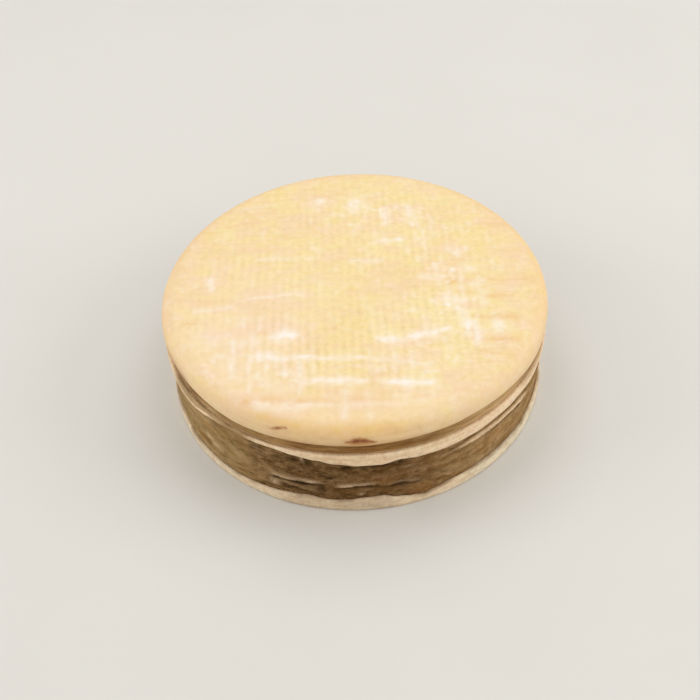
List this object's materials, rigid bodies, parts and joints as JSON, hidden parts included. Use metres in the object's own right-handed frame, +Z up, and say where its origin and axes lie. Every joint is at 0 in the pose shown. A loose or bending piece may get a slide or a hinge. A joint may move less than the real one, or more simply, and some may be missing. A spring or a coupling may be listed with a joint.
{
  "type": "cheese box",
  "caption": "Round box for a soft cheese: bent veneer wall bound in a bark strap and thin pale hoops, with a turned lift-off lid that has a bark skirt.",
  "frame": {"origin": "centre of the underside of the floor board", "axes": "+Z up through the centre of the box and lid, -Y towards the front of the picture, +X to its right"},
  "size_m": [0.12, 0.12, 0.036],
  "materials": {
    "floor_wood": "sawn pale board, unvarnished",
    "veneer": "thin bent veneer, unvarnished",
    "dark_bark": "fibrous dark brown bark, matt",
    "pale_bast": "pale inner bark, fibrous, matt",
    "brown_bark": "thin brown bark strip, matt",
    "limed_wood": "turned pale wood, limed and waxed, with a cloth-pressed face",
    "peg_wood": "whittled wooden pegs",
    "brad_steel": "plain steel brads",
    "staple_steel": "flat staple wire, slightly dulled"
  },
  "bodies": {
    "base": {"floor_board": "floor_wood", "floor_brads": "brad_steel", "liner_hoop": "veneer", "liner_staples": "staple_steel", "bark_strap": "dark_bark", "strap_pegs": "peg_wood", "upper_hoop": "pale_bast", "lower_hoop": "pale_bast", "hoop_pegs": "peg_wood"},
    "lid": {"lid_cap": "limed_wood", "lid_skirt": "brown_bark", "lid_brads": "brad_steel"}
  },
  "joints": [
    {"name": "lid_lift", "type": "slide", "parent": "base", "child": "lid", "axis": [0, 0, 1], "range_m": [0, 0.05]}
  ]
}
